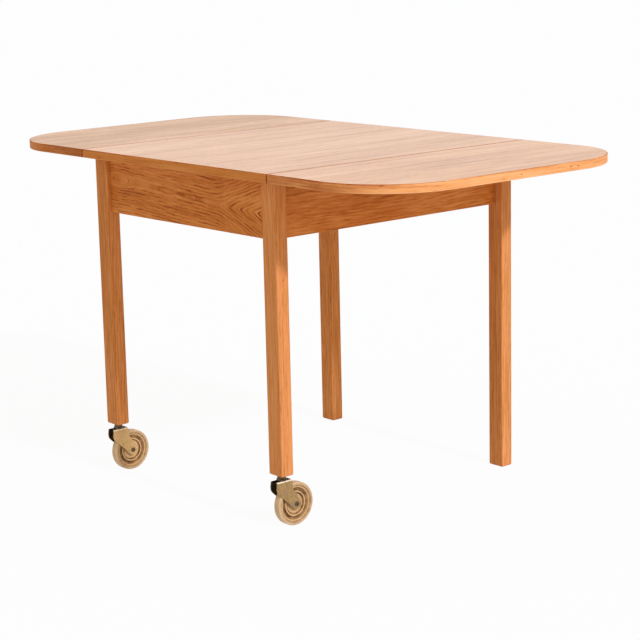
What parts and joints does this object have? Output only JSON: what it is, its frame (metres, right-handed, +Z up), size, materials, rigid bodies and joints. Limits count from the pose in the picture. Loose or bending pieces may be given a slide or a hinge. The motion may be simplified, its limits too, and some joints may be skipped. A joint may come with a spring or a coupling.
{
  "type": "drop-leaf table",
  "caption": "Rectangular wooden table with a raised drop leaf on each long side, rounded outer corners, deep aprons, straight legs and swivel casters at one end.",
  "frame": {"origin": "on the floor under the middle of the top, leaves raised", "axes": "+X along the seams towards the plain legs, with the casters at -X; +Y across the seams towards the left leaf; +Z up"},
  "size_m": [0.604, 1.088, 0.611],
  "materials": {
    "top_veneer": "pale pinkish oak veneer, satin, grain along the seams",
    "top_edging": "oak edging strip, satin",
    "leg_oak": "straight-grained oak, satin",
    "apron_oak": "figured oak veneer, satin",
    "inner_beech": "unfinished beech",
    "plain_steel": "zinc plated",
    "fork_plate": "yellow plated pressed sheet",
    "dark_neck": "dark bronzed",
    "axle_steel": "dull riveted steel",
    "wheel_plastic": "cream moulded plastic",
    "tyre_plastic": "pale smooth tyre"
  },
  "bodies": {
    "frame": {"centre_board": "top_veneer", "centre_edging_front": "top_edging", "centre_edging_back": "top_edging", "centre_edging_right": "top_edging", "centre_edging_left": "top_edging", "leg_front_right": "leg_oak", "leg_front_left": "leg_oak", "leg_back_right": "leg_oak", "leg_back_left": "leg_oak", "apron_front": "apron_oak", "apron_back": "apron_oak", "apron_right": "apron_oak", "apron_left": "apron_oak", "corner_block_front_right": "inner_beech", "corner_block_front_left": "inner_beech", "corner_block_back_right": "inner_beech", "corner_block_back_left": "inner_beech", "apron_dowels": "inner_beech", "bracket_block_right": "inner_beech", "bracket_block_left": "inner_beech", "corner_block_screws": "plain_steel", "top_screws": "plain_steel", "bracket_block_screws": "plain_steel", "hinge_screws_centre": "plain_steel", "bracket_pin_right": "plain_steel", "bracket_pin_left": "plain_steel", "hinge_pins_right": "plain_steel", "hinge_pins_left": "plain_steel", "hinge_plates_fixed_right": "plain_steel", "hinge_plates_fixed_left": "plain_steel", "caster_cup_right": "dark_neck", "caster_cup_left": "dark_neck", "caster_stem_right": "dark_neck", "caster_stem_left": "dark_neck", "caster_socket_right": "dark_neck", "caster_socket_left": "dark_neck"},
    "leaf_right": {"leaf_board_right": "top_veneer", "leaf_edging_right": "top_edging", "leaf_seam_edging_right": "top_edging", "hinge_plates_moving_right": "plain_steel", "hinge_screws_leaf_right": "plain_steel"},
    "bracket_right": {"bracket_arm_right": "inner_beech"},
    "caster_fork_body_right": {"caster_fork_right": "fork_plate", "caster_axle_right": "axle_steel"},
    "caster_wheel_body_right": {"caster_wheel_right": "wheel_plastic", "caster_tyre_right": "tyre_plastic", "caster_bush_right": "axle_steel"},
    "leaf_left": {"leaf_board_left": "top_veneer", "leaf_edging_left": "top_edging", "leaf_seam_edging_left": "top_edging", "hinge_plates_moving_left": "plain_steel", "hinge_screws_leaf_left": "plain_steel"},
    "bracket_left": {"bracket_arm_left": "inner_beech"},
    "caster_fork_body_left": {"caster_fork_left": "fork_plate", "caster_axle_left": "axle_steel"},
    "caster_wheel_body_left": {"caster_wheel_left": "wheel_plastic", "caster_tyre_left": "tyre_plastic", "caster_bush_left": "axle_steel"}
  },
  "joints": [
    {"name": "leaf_right_fold", "type": "hinge", "parent": "frame", "child": "leaf_right", "pos_m": [0, -0.264, 0.596], "axis": [-1, 0, 0], "range_deg": [-90, 0]},
    {"name": "bracket_right_swing", "type": "hinge", "parent": "frame", "child": "bracket_right", "pos_m": [0, -0.246, 0.5737], "axis": [0, 0, -1], "range_deg": [0, 90]},
    {"name": "caster_right_swivel", "type": "hinge", "parent": "frame", "child": "caster_fork_body_right", "pos_m": [-0.267, -0.239, 0.0832], "axis": [0, 0, 1], "continuous": true},
    {"name": "wheel_right_roll", "type": "hinge", "parent": "caster_fork_body_right", "child": "caster_wheel_body_right", "pos_m": [-0.242, -0.239, 0.038], "axis": [0, 1, 0], "continuous": true},
    {"name": "leaf_left_fold", "type": "hinge", "parent": "frame", "child": "leaf_left", "pos_m": [0, 0.264, 0.596], "axis": [1, 0, 0], "range_deg": [-90, 0]},
    {"name": "bracket_left_swing", "type": "hinge", "parent": "frame", "child": "bracket_left", "pos_m": [0, 0.246, 0.5737], "axis": [0, 0, 1], "range_deg": [0, 90]},
    {"name": "caster_left_swivel", "type": "hinge", "parent": "frame", "child": "caster_fork_body_left", "pos_m": [-0.267, 0.239, 0.0832], "axis": [0, 0, 1], "continuous": true},
    {"name": "wheel_left_roll", "type": "hinge", "parent": "caster_fork_body_left", "child": "caster_wheel_body_left", "pos_m": [-0.242, 0.239, 0.038], "axis": [0, 1, 0], "continuous": true}
  ]
}
